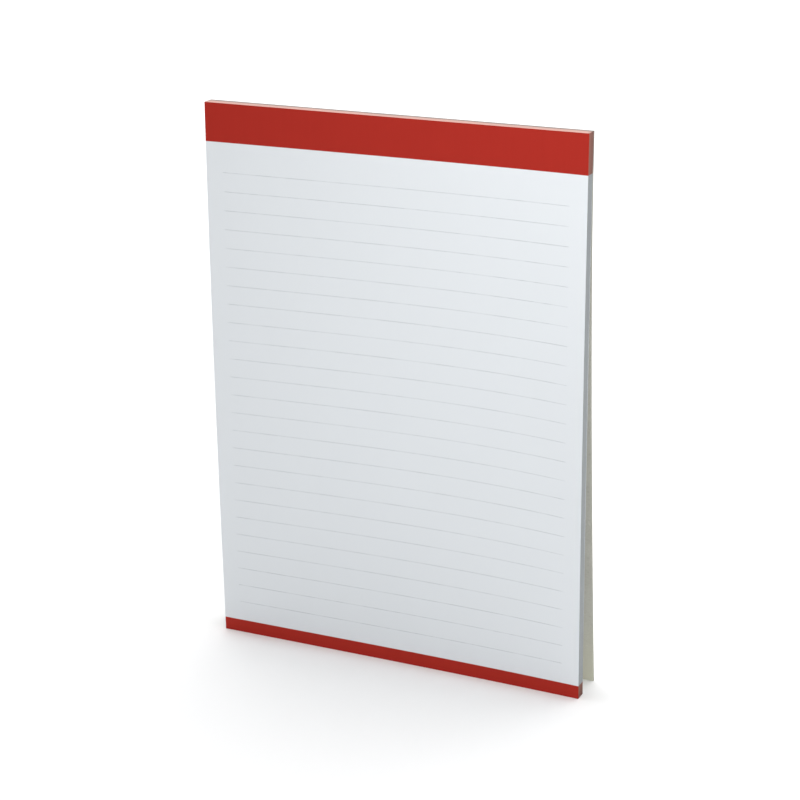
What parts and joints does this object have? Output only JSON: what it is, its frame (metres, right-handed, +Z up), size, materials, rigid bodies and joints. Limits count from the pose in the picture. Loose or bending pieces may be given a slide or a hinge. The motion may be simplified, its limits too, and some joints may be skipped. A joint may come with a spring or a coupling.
{
  "type": "writing pad",
  "caption": "Ruled paper writing pad glued along its top edge to a grey backing board, standing like an easel with the board as its rear leg.",
  "frame": {"origin": "on the floor, in the middle of the pad's width and depth (bounding box bottom centre)", "axes": "+Z up along the sheets' height, the ruled side faces -Y, the board's foot stands towards +Y, +X to the right as one reads the page"},
  "size_m": [0.21, 0.0257, 0.2973],
  "materials": {
    "paper": "matt uncoated white paper with printed red bands and faint grey ruling",
    "greyboard": "matt recycled grey board",
    "padding_glue": "dried flexible padding glue, slightly satin"
  },
  "bodies": {
    "root": {"sheet_block": "paper", "backing_board": "greyboard", "glue_strip": "padding_glue"}
  },
  "joints": []
}
